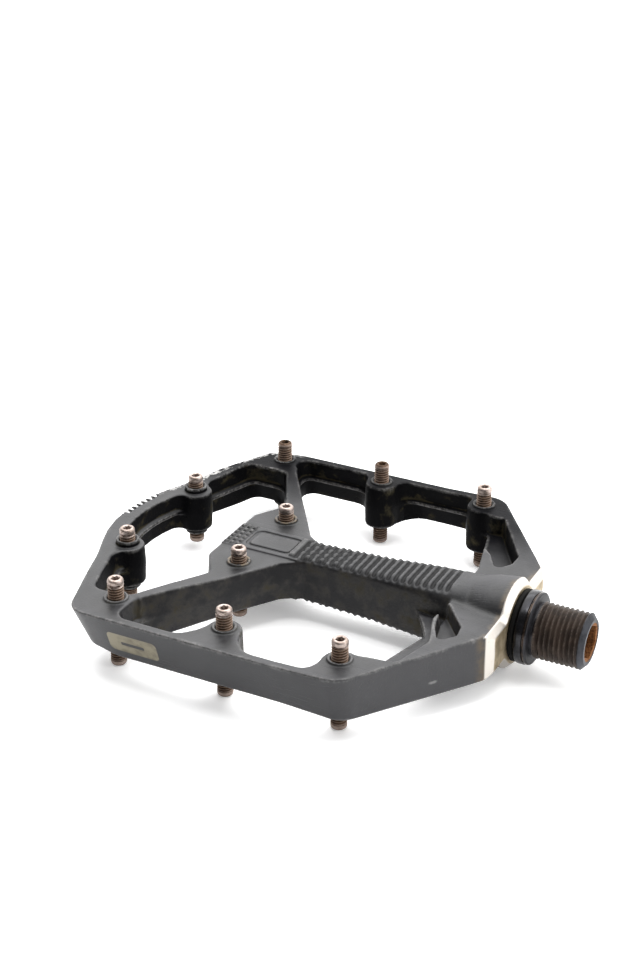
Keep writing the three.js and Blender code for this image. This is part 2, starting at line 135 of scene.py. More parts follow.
def rounded_outline(corners, step=math.radians(9)):
    """Points of a closed outline through corners (x, y, radius), with each corner an arc."""
    points = []
    count = len(corners)
    for i, (x, y, radius) in enumerate(corners):
        corner = np.array([x, y], float)
        back = np.array(corners[i - 1][:2], float) - corner
        ahead = np.array(corners[(i + 1) % count][:2], float) - corner
        back /= np.linalg.norm(back)
        ahead /= np.linalg.norm(ahead)
        if radius == 0:
            points.append(corner)
            continue
        half = math.acos(np.clip(back @ ahead, -1, 1)) / 2
        middle = (back + ahead) / np.linalg.norm(back + ahead)
        centre = corner + middle * radius / math.sin(half)
        first = corner + back * radius / math.tan(half) - centre
        last = corner + ahead * radius / math.tan(half) - centre
        turn = math.atan2(first[0] * last[1] - first[1] * last[0], first @ last)
        steps = max(1, math.ceil(abs(turn) / step))
        for s in range(steps + 1):
            a = turn * s / steps
            c, si = math.cos(a), math.sin(a)
            points.append(centre + np.array([first[0] * c - first[1] * si, first[0] * si + first[1] * c]))
    return np.array(points)


def both_sides(half):
    """The half outline for positive Y, followed by its mirror image."""
    return half + [(x, -y, r) for x, y, r in reversed(half) if y != 0]


class Field:
    """A grid of distances between two corners, in millimetres."""

    def __init__(self, low, high, voxel):
        self.low, self.voxel = np.array(low), voxel
        count = np.ceil((np.array(high) - self.low) / voxel).astype(int) + 1
        x, y, z = (np.float32(low[i]) + voxel * np.arange(count[i], dtype=np.float32) for i in range(3))
        self.x, self.y, self.z = x[:, None, None], y[None, :, None], z[None, None, :]

    def plan(self, corners):
        """Signed distance in plan to a rounded outline, negative inside."""
        points = rounded_outline(corners).astype(np.float32)
        px, py = np.broadcast_arrays(self.x[:, :, 0], self.y[:, :, 0])
        nearest = np.full(px.shape, 1e9, np.float32)
        inside = np.zeros(px.shape, bool)
        for (ax, ay), (bx, by) in zip(points, np.roll(points, -1, axis=0)):
            ex, ey = bx - ax, by - ay
            length = max(ex * ex + ey * ey, 1e-9)
            t = np.clip(((px - ax) * ex + (py - ay) * ey) / length, 0, 1)
            gap = (px - ax - t * ex) ** 2 + (py - ay - t * ey) ** 2
            nearest = np.minimum(nearest, gap)
            if ay != by:
                crosses = ((py >= ay) != (py >= by)) & (px < ax + (py - ay) * ex / ey)
                inside ^= crosses
        distance = np.sqrt(nearest)
        return np.where(inside, -distance, distance)

    def leaned(self, plan):
        """Walls from a plan distance that lean in Y, fully on the outer half, hardly at the crank end."""
        share = np.clip((FACE_X - self.x[:, 0, 0]) / 40, 0.12, 1)
        rows = np.arange(plan.shape[1], dtype=np.float32)
        levels = []
        for z in self.z[0, 0, :]:
            place = rows[None, :] + (LEAN * share * z / HALF_HEIGHT / self.voxel)[:, None]
            place = np.clip(place, 0, plan.shape[1] - 1.001)
            first = place.astype(int)
            part = (place - first).astype(np.float32)
            a = np.take_along_axis(plan, first, axis=1)
            b = np.take_along_axis(plan, first + 1, axis=1)
            levels.append(a + (b - a) * part)
        return np.stack(levels, axis=2)

    def pillar(self, x, y, radius):
        """Distance in plan to an upright round pillar."""
        return np.hypot(self.x - x, self.y - y) - radius

    def mesh(self, distance):
        """Vertices in millimetres, quads, and the vertices again in grid steps."""
        band = 2 * self.voxel
        grid = openvdb.FloatGrid(band)
        grid.copyFromArray(np.clip(distance, -band, band).astype(np.float32))
        points, quads = grid.convertToQuads(isovalue=0.0)
        return self.low + points.astype(np.float64) * self.voxel, quads, points


def sampled(values, points):
    """Trilinear samples of a grid at fractional grid points."""
    top = np.array(values.shape) - 2
    base = np.clip(np.floor(points).astype(int), 0, top)
    part = np.clip(points - base, 0, 1)
    total = np.zeros(len(points))
    for corner in np.ndindex(2, 2, 2):
        i, j, k = (base + corner).T
        total += np.abs(1 - np.array(corner) - part).prod(axis=1) * values[i, j, k]
    return total


def blurred(values, cells):
    """A box blur by cells each way, made of running sums along the three axes."""
    for axis in range(3):
        pad = [(0, 0)] * 3
        pad[axis] = (cells + 1, cells)
        total = np.cumsum(np.pad(values, pad, mode="edge"), axis=axis, dtype=np.float64)
        size = values.shape[axis]
        upper = np.take(total, range(2 * cells + 1, 2 * cells + 1 + size), axis=axis)
        lower = np.take(total, range(0, size), axis=axis)
        values = ((upper - lower) / (2 * cells + 1)).astype(np.float32)
    return values


# ---- Body ----

BODY_HALF = [(FACE_X, 16.3, 0), (FACE_X - 1.4, 18.8, 0), (-28.6, HALF_WIDTH, 7), (-100.4, HALF_WIDTH, 6)]
BODY_HALF += [(-109.5, 25.2, 30), (APEX_X - 3.9, 0, 41)]
BODY_OUTLINE = both_sides(BODY_HALF)
OPENING_HALF = [(WEB_X, 12, 0), (-27.8, BLOCK_Y + 0.8, 2), (-34, HALF_WIDTH - RAIL, 2)]
OPENING_HALF += [(BLOCK_X, HALF_WIDTH - RAIL, 3), (BLOCK_X, BLOCK_Y, 2), (-100.6, BLOCK_Y, 3)]
OPENING_OUTLINE = both_sides(OPENING_HALF + [(APEX_X + 3, 0, 33)])
ARM_HALF = [(TUBE_FROM + 4, TUBE_HALF_WIDTH[0], 0), (TUBE_FROM - 0.5, 8.6, 3), (-87.6, 41, 0)]
ARM_OUTLINE = both_sides(ARM_HALF + [(-90.6, 41, 0), (-80, 20.5, 2), (PLATFORM_X, 12, 1)])


def lug_outline(name, x, y):
    """Plan of a lug that flares from its pin to the rail, as corners along its own way outwards."""
    side = math.copysign(1, y)
    way = (-0.93, 0.37 * side) if "end" in name else (0, side)
    left = right = [(0, 4.2), (3.2, 5.6), (8, 9 if "end" in name else 9.5)]
    if "inner" in name:
        left, right = [(0, 4.1), (3.5, 4.4), (8, 6)], [(-4, 1.5), (-4.3, 12), (8, 12)]
    across = (abs(way[1]), -way[0] * side)
    corners = []
    for out, aside in [(out, -aside) for out, aside in left] + right[::-1]:
        corners.append((x + way[0] * out + across[0] * aside, y + way[1] * out + across[1] * aside, 0))
    return corners


def body_outline(field):
    """The leaning outer wall; its corners tuck in at the top of one side and the foot of the other."""
    wall = field.leaned(field.plan(BODY_OUTLINE))
    corner = smooth_step(28, 45, np.abs(field.y)) * smooth_step(-88, -99, field.x)
    return wall + CORNER_TUCK * corner * np.clip(0.5 + 0.5 * np.sign(field.y) * field.z / HALF_HEIGHT, 0, 1)


def side_walls(field):
    """Rails, lugs and arms as one upright wall, seen in plan."""
    outline = body_outline(field)
    opening = field.leaned(field.plan(OPENING_OUTLINE))
    level = np.abs(field.z)
    ledge = 0.85 * (1 - smooth_step(0.45, 0.85, np.abs(field.z - 0.1)))
    draft = 0.05 * (HALF_HEIGHT - level)
    walls = -opening - ledge - draft
    arms = field.plan(ARM_OUTLINE)[:, :, None] - 0.07 * (HALF_HEIGHT - level)
    walls = smooth_min(walls, arms, 3.0)
    for name, x, y, _ in PINS:
        if "_top_" not in name or "centre" in name or "corner" in name:
            continue
        web = field.plan(lug_outline(name, x, y))[:, :, None]
        lug = smooth_min(web, field.pillar(x, y, LUG_RADIUS), 0.6) - draft * 0.8
        walls = smooth_min(walls, lug, 2.2)
    return np.maximum(walls, outline), outline


def gussets(field):
    """Thin webs at half height that fill the corners between the housing and the end of the openings."""
    half = [(-31, 4, 0), (-25.2, 12.4, 2), (-21.9, 18.5, 4), (-22.6, 24, 0), (-20.4, 20, 0), (-20.4, 4, 0)]
    plan = field.plan(both_sides(half))
    return np.maximum(plan[:, :, None], np.abs(field.z) - WEB_HALF)


def plate_height(field):
    """Half the height of the body in plan: the arms dip to the thin centre plate."""
    rise = smooth_step(18, 38, np.abs(field.y))
    low = PLATFORM_HEIGHT + (HALF_HEIGHT - PLATFORM_HEIGHT) * rise
    return np.where(field.x < -60, low, HALF_HEIGHT)


def tube(field):
    """The ribbed spindle housing, broken into bumps near the centre plate."""
    along = field.x[:, 0, 0]
    sizes = (TUBE_HALF_WIDTH, TUBE_HALF_HEIGHT, TUBE_CORNER)
    width, height, corner = (np.interp(along, TUBE_X, size)[:, None, None] for size in sizes)
    out_y = np.abs(field.y) - (width - corner)
    out_z = np.abs(field.z) - (height - corner)
    section = np.hypot(np.maximum(out_y, 0), np.maximum(out_z, 0)) + np.minimum(np.maximum(out_y, out_z), 0)
    phase = (field.x - TUBE_FROM) / RIDGE_PITCH
    ribbed = smooth_step(TUBE_FROM + 1.2, TUBE_FROM + 2, field.x) * smooth_step(-21, -22, field.x)
    valley = RIDGE_DEPTH * (0.5 + 0.5 * np.cos(2 * np.pi * phase))
    stagger = np.pi * np.floor(phase)
    rows = 0.5 + 0.5 * np.cos(field.y * 2 * np.pi / 2.6 + stagger)
    broken = rows * (0.12 + 0.33 * smooth_step(-44, -54, field.x)) * (1 - valley / RIDGE_DEPTH)
    section = section - corner + (valley + broken) * ribbed * smooth_step(1.5, 0.7, height - np.abs(field.z))
    return np.maximum(section, np.abs(field.x - (TUBE_FROM + TUBE_TO) / 2) - (TUBE_TO - TUBE_FROM) / 2)


def hub(field):
    """The round hub at the crank end, with the machined chamfer round its face."""
    radius = np.interp(
        field.x[:, 0, 0],
        [WEB_X - 0.6, -18, -12, FACE_X - FACE_CHAMFER, FACE_X],
        [7.6, 9.2, 10.8, HUB_RADIUS, HUB_RADIUS - FACE_CHAMFER],
    )[:, None, None]
    return np.maximum(np.hypot(field.y, field.z) - radius, WEB_X - 0.6 - field.x)


def centre_strip(field):
    """The raised strip along the centre plate, with its plain panel and gripping teeth."""
    half_width, top = 5.9, PLATFORM_HEIGHT + 0.45
    strip = np.maximum(np.abs(field.y) - half_width, np.abs(field.z) - top)
    strip = np.maximum(strip, PLATFORM_X - field.x)
    strip = np.maximum(strip, field.x - (TUBE_FROM + 3))
    panel_x, panel_y = np.abs(field.x + 72.6) - 4.6, np.abs(field.y) - 2.2
    panel = np.hypot(np.maximum(panel_x, 0), np.maximum(panel_y, 0)) - 1.7
    panel = panel + np.minimum(np.maximum(panel_x, panel_y), 0)
    outline_groove = np.maximum(np.abs(panel) - 0.45, top - 0.6 - np.abs(field.z))
    strip = smooth_max(strip, -outline_groove, 0.2)
    row, column = (field.x - PLATFORM_X) / 1.7, field.y / 1.9
    row = np.abs(row - np.floor(row) - 0.5)
    column = np.abs(column - np.floor(column) - 0.5)
    in_teeth = (field.x < PLATFORM_X + 5.1) & (np.abs(field.y) < half_width - 0.2)
    teeth_top = top + 0.35 - 2.4 * np.maximum(np.maximum(row, column) - 0.14, 0)
    teeth = np.maximum(np.abs(field.z) - teeth_top, PLATFORM_X - field.x)
    return np.where(in_teeth, teeth, strip)


def rim_teeth(field, outline):
    """Leaning notches along the outer top edge of the end rail; half a turn gives the lower ones."""
    y = field.y * np.sign(field.z)
    below = HALF_HEIGHT - np.abs(field.z)
    phase = (y - 0.9 * below) / TOOTH_PITCH
    across = (np.abs(phase - np.floor(phase) - 0.5) * TOOTH_PITCH - 0.55) / 1.35
    fresh = smooth_step(-4, -3, y) * smooth_step(13, 8.5, y)
    worn = smooth_step(10, 13, y) * smooth_step(39, 36, y)
    depth = 2.6 * fresh + 0.35 * worn
    from_edge = (outline + depth - 0.6 * below) / 1.17
    notch = np.maximum(across, -from_edge)
    eased = (outline + 0.4 * fresh + 0.5 * worn - 0.9 * below) / 1.35
    return np.where((field.x < -99) & (depth > 0.05), np.maximum(-notch, eased), -1.0)


def web_recesses(field):
    """Blind recesses in the web at the crank end, on the top face, as one plan each with a depth."""
    long = [(-31, 38.8, 0), (-24.4, 38.8, 0.5), (-14, 21.4, 1.5), (-14.1, 17, 1.5), (-16.6, 13.3, 1)]
    long += [(-20, 19.3, 1), (-23.6, 23, 0), (-31, 30, 0)]
    small = [(-20.6, -8.6, 0.4), (-13.6, -17.6, 1.5), (-13, -21.5, 1.2), (-15.8, -25.4, 1)]
    small += [(-18.6, -20, 2), (-20.6, -12.5, 1)]
    pocket_end = [(-33, -4, 0), (-33, -36, 0), (-30, -39.7, 0), (-20.8, -38.7, 2.5), (-17.8, -27, 3)]
    pocket_end += [(-21.2, -17, 5), (-21.2, -10, 1), (-20.5, -7, 0), (-26, -4, 0)]
    return [(field.plan(long), WEB_HALF), (field.plan(small), 2.0), (field.plan(pocket_end), WEB_HALF)]


def body_distance(field):
    walls, outline = side_walls(field)
    body = smooth_max(walls, np.abs(field.z) - plate_height(field), 0.7)
    face_edge = (field.x - FACE_X + np.abs(field.z) - HALF_HEIGHT + FACE_CHAMFER) / math.sqrt(2)
    body = np.maximum(body, face_edge)
    for plan, floor in web_recesses(field):
        cut = np.maximum(plan[:, :, None] - 0.06 * (field.z - floor), floor - field.z)
        body = smooth_max(body, -cut, 0.5)
        body = smooth_max(body, -cut[:, ::-1, ::-1], 0.5)
    body = smooth_min(body, gussets(field), 0.4)
    body = np.maximum(body, rim_teeth(field, outline))
    body = smooth_min(body, tube(field), 0.7)
    body = smooth_min(body, centre_strip(field), 0.15)
    body = smooth_min(body, hub(field), 1.0)
    body = np.maximum(body, field.x - FACE_X)
    return drilled(field, body)


def boss_top(name):
    return PLATFORM_HEIGHT + 0.8 if "centre" in name else HALF_HEIGHT + 0.7


def drilled(field, body):
    """Bosses round the pins, then the pin holes and the stepped bore along the spindle."""
    for name, x, y, tip in PINS:
        height = field.z * math.copysign(1, tip)
        top = boss_top(name)
        boss = smooth_max(field.pillar(x, y, BOSS_RADIUS), np.abs(height - top + 2) - 2, 0.35)
        body = smooth_min(body, boss, 0.5)
    for name, x, y, tip in PINS:
        height = field.z * math.copysign(1, tip)
        hole = field.pillar(x, y, PIN_RADIUS + 0.1)
        sink = np.maximum(hole - 0.5 + (boss_top(name) - height) * 0.9, -height)
        body = np.maximum(body, -np.minimum(hole, sink))
    across = np.hypot(field.y, field.z)
    steps = [
        (FACE_X + 2, -8.4, 8.4, 8.4),
        (-8.4, -18.6, 6.6, 6.6),
        (-18.6, -61.8, 5.4, 4.3),
        (-61.8, PLATFORM_X - 2, 4.5, 4.5),
    ]
    for start, end, wide, narrow in steps:
        radius = np.interp(field.x[:, 0, 0], [end, start], [narrow, wide])[:, None, None]
        bore = np.maximum(across - radius, np.abs(field.x - (start + end) / 2) - (start - end) / 2)
        body = np.maximum(body, -bore)
    mouth = np.maximum(across - 5.1 + (field.x - PLATFORM_X), np.abs(field.x - PLATFORM_X) - 0.6)
    return np.maximum(body, -mouth)


# ---- Mesh building ----


def new_object(name, vertices, faces, material, sharp=None):
    """A mesh object in metres from vertices in metres."""
    mesh = bpy.data.meshes.new(name)
    mesh.from_pydata([], [], [])
    faces = np.asarray(faces, dtype=np.int32)
    size = faces.shape[1]
    mesh.vertices.add(len(vertices))
    mesh.vertices.foreach_set("co", np.asarray(vertices, np.float32).ravel())
    mesh.loops.add(faces.size)
    mesh.loops.foreach_set("vertex_index", faces.ravel())
    mesh.polygons.add(len(faces))
    mesh.polygons.foreach_set("loop_start", np.arange(0, faces.size, size, dtype=np.int32))
    mesh.update(calc_edges=True)
    mesh.shade_smooth()
    if sharp is not None:
        mesh.set_sharp_from_angle(angle=math.radians(sharp))
    mesh.materials.append(material)
    piece = bpy.data.objects.new(name, mesh)
    bpy.context.scene.collection.objects.link(piece)
    return piece


def vertex_values(piece, name, values):
    attribute = piece.data.attributes.new(name, "FLOAT", "POINT")
    attribute.data.foreach_set("value", np.asarray(values, np.float32))


def build_body(material):
    corner = np.array([APEX_X, BODY_LOW.y / MM, BODY_LOW.z / MM]) - MARGIN
    far_corner = np.array([FACE_X, BODY_HIGH.y / MM, BODY_HIGH.z / MM]) + MARGIN
    field = Field(corner, far_corner, VOXEL)
    distance = body_distance(field)
    places, quads, grid_points = field.mesh(distance)
    near = np.clip(distance, -1.5, 1.5)
    slope = [sampled(part, grid_points) for part in np.gradient(near)]
    normals = np.stack(slope, axis=1)
    normals /= np.maximum(np.linalg.norm(normals, axis=1, keepdims=True), 1e-6)
    edge = sampled(blurred(near, round(0.9 / VOXEL)), grid_points)
    world = places * MM + np.array([SHOULDER, 0, 0])
    piece = new_object("forged_body", world, quads, material)
    piece.data.normals_split_custom_set_from_vertices(normals.astype(np.float32))
    vertex_values(piece, "edge", edge)
    x, y, z = places.T
    chamfer = smooth_step(FACE_X - FACE_CHAMFER - 0.5, FACE_X - FACE_CHAMFER, x)
    side_edge = smooth_step(FACE_X - 1.6, FACE_X - 1.35, x)
    facing = np.maximum(side_edge, smooth_step(0.35, 0.5, np.abs(normals[:, 2])))
    vertex_values(piece, "machined", chamfer * facing * smooth_step(0.25, 0.4, normals[:, 0]))
    vertex_values(piece, "flat_face", chamfer * smooth_step(0.93, 0.97, normals[:, 0]))
    depth = sampled(body_outline(field), grid_points)
    vertex_values(piece, "rim", smooth_step(-2.8, -1.2, depth) * smooth_step(3.8, 5.2, np.abs(z)))
    vertex_values(piece, "inner", smooth_step(-0.5, -1, depth))
    from_pin = np.min([np.hypot(x - pin[1], y - pin[2]) for pin in PINS], axis=0)
    ring = smooth_step(1.9, 2.2, from_pin) * smooth_step(BOSS_RADIUS + 0.1, BOSS_RADIUS - 0.25, from_pin)
    vertex_values(piece, "boss", ring * smooth_step(PLATFORM_HEIGHT, PLATFORM_HEIGHT + 0.3, np.abs(z)))
    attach(piece, PEDAL)
    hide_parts("pedal_body")
    return piece


def revolve(rows, steps, closed=False):
    """Vertices and quads of rows (along, radius, thread, flats) turned about the local X axis.

    thread is (pitch, depth) or None. flats is the width of a hexagon that limits the radius, or None.
    """
    turn = np.arange(steps) * 2 * math.pi / steps
    bend = (turn + math.pi / 6) % (math.pi / 3) - math.pi / 6
    rings = []
    for along, radius, thread, flats in rows:
        ring = np.full(steps, float(radius))
        if flats:
            ring = np.minimum(ring, flats / 2 / np.cos(bend))
        if thread:
            pitch, depth = thread
            phase = (along / pitch - turn / (2 * math.pi)) % 1
            ring = ring - depth * np.clip(np.abs(phase - 0.5) * 2.6 - 0.15, 0, 1)
        rings.append(np.stack([np.full(steps, along), ring * np.cos(turn), ring * np.sin(turn)], axis=1))
    count = len(rows)
    this = np.arange(steps)
    following = (this + 1) % steps
    faces = []
    for row in range(count if closed else count - 1):
        base, ahead = row * steps, ((row + 1) % count) * steps
        faces.append(np.stack([base + this, base + following, ahead + following, ahead + this], axis=1))
    return np.concatenate(rings), np.concatenate(faces)


def rows_from(profile, edge=0.12, closed=False):
    """Rows for revolve from corners (along, radius) or (along, radius, flats), with the corners eased."""
    corners = [tuple(corner) + (None,) * (3 - len(corner)) for corner in profile]
    count = len(corners)
    rows = []
    for i, (along, radius, flats) in enumerate(corners):
        before, after = corners[i - 1], corners[(i + 1) % count]
        if (not closed and i in (0, count - 1)) or radius == 0:
            rows.append((along, radius, None, flats))
            continue
        point = np.array([along, radius])
        back, ahead = np.array(before[:2]) - point, np.array(after[:2]) - point
        reach = min(edge, np.linalg.norm(back) / 2.5, np.linalg.norm(ahead) / 2.5)
        first = point + back / np.linalg.norm(back) * reach
        last = point + ahead / np.linalg.norm(ahead) * reach
        for share in (0, 0.5, 1):
            eased = first * (1 - share) ** 2 + point * 2 * share * (1 - share) + last * share**2
            rows.append((eased[0], eased[1], None, flats))
    return rows


def thread_rows(start, end, radius, pitch, depth):
    """Rows of a thread between two places along the axis, which runs out over half a turn at each end."""
    count = max(2, round(abs(end - start) / pitch * 8))
    rows = []
    for i in range(count + 1):
        along = start + (end - start) * i / count
        run_in = min(1, min(abs(along - start), abs(along - end)) / (pitch * 0.5))
        rows.append((along, radius, (pitch, depth * run_in), None))
    return rows


def turned_piece(name, rows, material, body, node, steps=96, closed=False):
    """A piece revolved about the spindle's axis, which stands for its CAD node."""
    vertices, faces = revolve(rows, steps, closed)
    piece = new_object(name, vertices * MM + np.array([SHOULDER, 0, 0]), faces, material, sharp=40)
    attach(piece, body)
    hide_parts(node)
    return piece


# ---- Materials ----


class Paint:
    """Writes one procedural material, step by step. Sizes are in millimetres."""

    def __init__(self, name):
        self.material = bpy.data.materials.new(name)
        self.material.use_nodes = True
        self.tree = self.material.node_tree
        self.tree.nodes.clear()
        coordinates = self.node("TexCoord")
        self.normal = coordinates.outputs["Normal"]
        place = coordinates.outputs["Object"]
        self.place = self.node("VectorMath", {"operation": "SCALE"}, Vector=place, Scale=1 / MM).outputs[0]
        split = self.node("SeparateXYZ", Vector=self.place)
        self.x = self.sum(split.outputs[0], -SHOULDER / MM)
        self.y, self.z = split.outputs[1], split.outputs[2]

    def node(self, kind, settings=None, **inputs):
        made = self.tree.nodes.new("ShaderNode" + kind)
        for key, value in (settings or {}).items():
            setattr(made, key, value)
        for key, value in inputs.items():
            self.feed(made.inputs[key.replace("_", " ")], value)
        return made

    def feed(self, socket, value):
        if isinstance(value, bpy.types.NodeSocket):
            self.tree.links.new(value, socket)
        elif isinstance(value, tuple) and len(value) == 3 and socket.type == "RGBA":
            socket.default_value = (*value, 1)
        else:
            socket.default_value = value

    def maths(self, operation, *values):
        made = self.node("Math", {"operation": operation})
        for socket, value in zip(made.inputs, values):
            self.feed(socket, value)
        return made.outputs[0]

    def sum(self, *values):
        total = values[0]
        for value in values[1:]:
            total = self.maths("ADD", total, value)
        return total

    def product(self, *values):
        total = values[0]
        for value in values[1:]:
            total = self.maths("MULTIPLY", total, value)
        return total

    def most(self, a, b):
        return self.maths("MAXIMUM", a, b)

    def size(self, value):
        return self.maths("ABSOLUTE", value)

    def rest(self, share):
        return self.maths("SUBTRACT", 1.0, share)

    def length(self, u, w, stretch=1.0):
        """Length of (u, w), with the square of w counted stretch times."""
        return self.maths("SQRT", self.sum(self.product(u, u), self.product(w, w, stretch)))

    def step(self, value, low, high):
        """0 below low, 1 above high, and smooth between; low may be the larger one."""
        made = self.node("MapRange", {"interpolation_type": "SMOOTHSTEP"}, Value=value)
        ends = (high, low, 1, 0) if low > high else (low, high, 0, 1)
        for key, end in zip(("From Min", "From Max", "To Min", "To Max"), ends):
            made.inputs[key].default_value = end
        return made.outputs["Result"]

    def noise(self, size, detail=3.0, roughness=0.55, stretch=None, turn=None, shift=0.0):
        """Noise from 0 to 1 with patches about size across, drawn out along the axes by stretch."""
        place = self.place
        if stretch or shift:
            made = self.node("Mapping", Vector=place)
            made.inputs["Scale"].default_value = [1 / s for s in (stretch or (1, 1, 1))]
            made.inputs["Location"].default_value = (shift, shift, shift)
            made.inputs["Rotation"].default_value = turn or (0, 0, 0)
            place = made.outputs[0]
        made = self.node("TexNoise", Vector=place, Scale=1 / size, Detail=detail, Roughness=roughness)
        return made.outputs["Fac"]

    def specks(self, spacing, radius, share):
        """Small round spots: one in share of the cells of a Voronoi pattern."""
        made = self.node("TexVoronoi", Vector=self.place, Scale=1 / spacing, Randomness=1.0)
        draw, reach = self.node("SeparateColor", Color=made.outputs["Color"]).outputs[0], radius / spacing
        chosen = self.step(draw, share, share - 0.02)
        return self.product(self.step(made.outputs["Distance"], reach, reach * 0.6), chosen)

    def rectangle(self, u, w, reach_u, reach_w, corner):
        """Distance outwards from a rounded rectangle about u = 0 and w = 0, negative inside."""
        out_u = self.most(self.sum(self.size(u), corner - reach_u), 0.0)
        out_w = self.most(self.sum(self.size(w), corner - reach_w), 0.0)
        return self.sum(self.length(out_u, out_w), -corner)

    def mix(self, share, a, b):
        return self.node("MixRGB", Fac=share, Color1=a, Color2=b).outputs[0]

    def blend(self, share, a, b):
        """a where share is 0 and b where it is 1, for plain values."""
        made = self.node("Mix", {"data_type": "FLOAT"})
        for socket, value in zip(made.inputs[:1] + made.inputs[2:4], (share, a, b)):
            self.feed(socket, value)
        return made.outputs[0]

    def attribute(self, name):
        return self.node("Attribute", {"attribute_name": name}).outputs["Fac"]

    def bump(self, height, depth, normal=None):
        made = self.node("Bump", Height=height, Distance=depth * MM)
        if normal is not None:
            self.feed(made.inputs["Normal"], normal)
        return made.outputs[0]

    def surface(self, color, metallic, roughness, normal, **more):
        shader = self.node("BsdfPrincipled", Metallic=metallic, Roughness=roughness, Normal=normal, **more)
        self.feed(shader.inputs["Base Color"], color)
        output = self.node("OutputMaterial")
        self.tree.links.new(shader.outputs[0], output.inputs[0])
        return self.material


class BodyAreas:
    """Where each kind of surface lies on the body, each as a share from 0 to 1, and the shared noises."""

    def __init__(self, p):
        self.edge, self.rim = p.attribute("edge"), p.attribute("rim")
        self.boss, self.inner = p.attribute("boss"), p.attribute("inner")
        self.machined, self.face = p.attribute("machined"), p.attribute("flat_face")
        self.broad, self.cloudy = p.noise(22, 3), p.noise(5, 5, 0.6)
        self.fine = p.noise(0.9, 4, 0.65, shift=7)
        self.up = p.node("SeparateXYZ", Vector=p.normal).outputs[2]
        self.sides = p.step(p.size(self.up), 0.85, 0.3)
        self.flats = p.rest(self.sides)
        self.dusty = p.product(p.step(p.y, 16, 0), p.step(p.x, -101, -96))
        self.ridges = p.product(p.step(p.size(p.y), 9, 8), p.step(p.x, -66, -64), p.step(p.x, -20, -22))
        self.height = p.product(p.z, p.maths("SIGN", p.y))


def black_coat_with_painted_shade(p, on):
    """The black coating with painted shade and light: the pockets, the hollows of the flats and the far
    flats are painted blacker as shade, the outer walls greyer as painted light.
    """
    color = p.mix(p.step(on.broad, 0.35, 0.65), (0.008, 0.008, 0.0092), (0.0125, 0.0125, 0.0145))
    color = p.mix(p.product(p.step(on.cloudy, 0.45, 0.7), 0.5), color, (0.021, 0.02, 0.02))
    hazy = p.mix(p.step(on.cloudy, 0.4, 0.6), (0.012, 0.0118, 0.013), (0.027, 0.025, 0.023))
    # Painted shade: the side walls inside the pockets are painted near-black, except where the near pockets
    # are hazy with dust.
    pocket = p.mix(on.dusty, (0.003, 0.003, 0.0035), hazy)
    color = p.mix(p.product(on.sides, on.inner), color, pocket)
    # Painted shade: concave hollows on the flats, such as the troughs between the housing's ridges, are
    # painted near-black.
    shaded = p.product(p.step(on.edge, 0.06, -0.06), on.flats, 0.8)
    color = p.mix(shaded, color, (0.004, 0.004, 0.004))
    # Painted shade: the flats on the far side are painted darker.
    color = p.mix(p.product(p.step(p.y, 20, 42), on.flats, 0.7), color, (0.004, 0.004, 0.005))
    # Painted light: the outer walls are painted a lighter grey, as if lit by the bright floor.
    outer_wall = p.mix(on.cloudy, (0.03, 0.03, 0.032), (0.04, 0.04, 0.043))
    return p.mix(p.product(on.sides, p.rest(on.inner)), color, outer_wall)


def mud_share(p, on):
    """Mud dried in the pockets and inner corners, on the sides rather than on the flats."""
    hollow = p.step(on.edge, -0.02, -0.28)
    return p.product(on.sides, p.step(p.sum(on.cloudy, p.product(hollow, 0.22)), 0.54, 0.72), on.inner, 0.7)


def dust_share(p, on):
    """Pale dust on the upper flats, with hardly any on the housing's ridges."""
    level = p.product(p.step(on.up, 0.5, 0.95), p.step(p.y, 40, 15))
    cover = p.sum(p.product(p.rest(on.ridges), 0.4), 0.05)
    return p.product(level, p.step(p.noise(9, 4, shift=3), 0.4, 0.7), cover)


def wall_marks(p, on, color):
    """A plain pale label with one blank bar on the long walls, and a scuff near the crank end."""
    along, up = p.sum(p.x, 83.6), p.sum(on.height, -0.8)
    label, bar = p.rectangle(along, up, 6.9, 2.9, 1.3), p.rectangle(along, up, 3.2, 0.5, 0.3)
    shade = p.mix(p.step(on.cloudy, 0.4, 0.65), (0.2, 0.18, 0.127), (0.12, 0.105, 0.072))
    long_wall = p.step(p.size(p.y), 50, 50.5)
    color = p.mix(p.product(long_wall, p.step(label, 0.1, -0.1), p.step(bar, -0.1, 0.1)), color, shade)
    scuff = p.sum(p.length(p.sum(p.x, 14.5), p.sum(on.height, -2.1), 2.5), on.fine)
    scuff = p.product(p.step(p.size(p.y), 26, 27), p.step(scuff, 1.5, 0.7), 0.6)
    return p.mix(scuff, color, (0.2, 0.2, 0.195))


def rubbed_edges_and_painted_highlights(p, on, color):
    # Convex edges painted lighter: partly rubbed wear, partly painted highlight lines along the edges.
    rubbed = p.step(p.sum(on.edge, p.product(p.sum(on.cloudy, -0.5), 0.4)), 0.1, 0.3)
    broken = p.sum(p.product(p.step(on.fine, 0.4, 0.6), 0.7), 0.3)
    strength = p.product(p.sum(p.product(p.rest(on.ridges), 0.5), 0.15), broken)
    return p.mix(p.product(rubbed, strength), color, (0.15, 0.146, 0.143))


def bare_share(p, on, scuffs):
    """Bare metal where shoes and kerbs have hit the outer end, and in small chips anywhere."""
    outer_end = p.product(p.step(p.x, -86, -96), p.step(p.product(p.y, p.step(p.z, 0, 0.1)), 8, 16))
    reach = p.sum(p.product(on.rim, 0.16), p.product(scuffs, 0.75), p.product(on.fine, 0.45))
    band = p.product(p.step(reach, 0.72, 0.8), outer_end, p.step(on.rim, 0.1, 0.4))
    high = p.step(p.size(p.z), 4, 5)
    lip = p.product(p.step(on.edge, 0.16, 0.3), outer_end, p.step(on.fine, 0.5, 0.62), high)
    chips = p.product(p.specks(4.5, 0.3, 0.05), p.step(on.cloudy, 0.45, 0.6))
    return p.most(p.most(band, p.product(lip, 0.8)), chips)


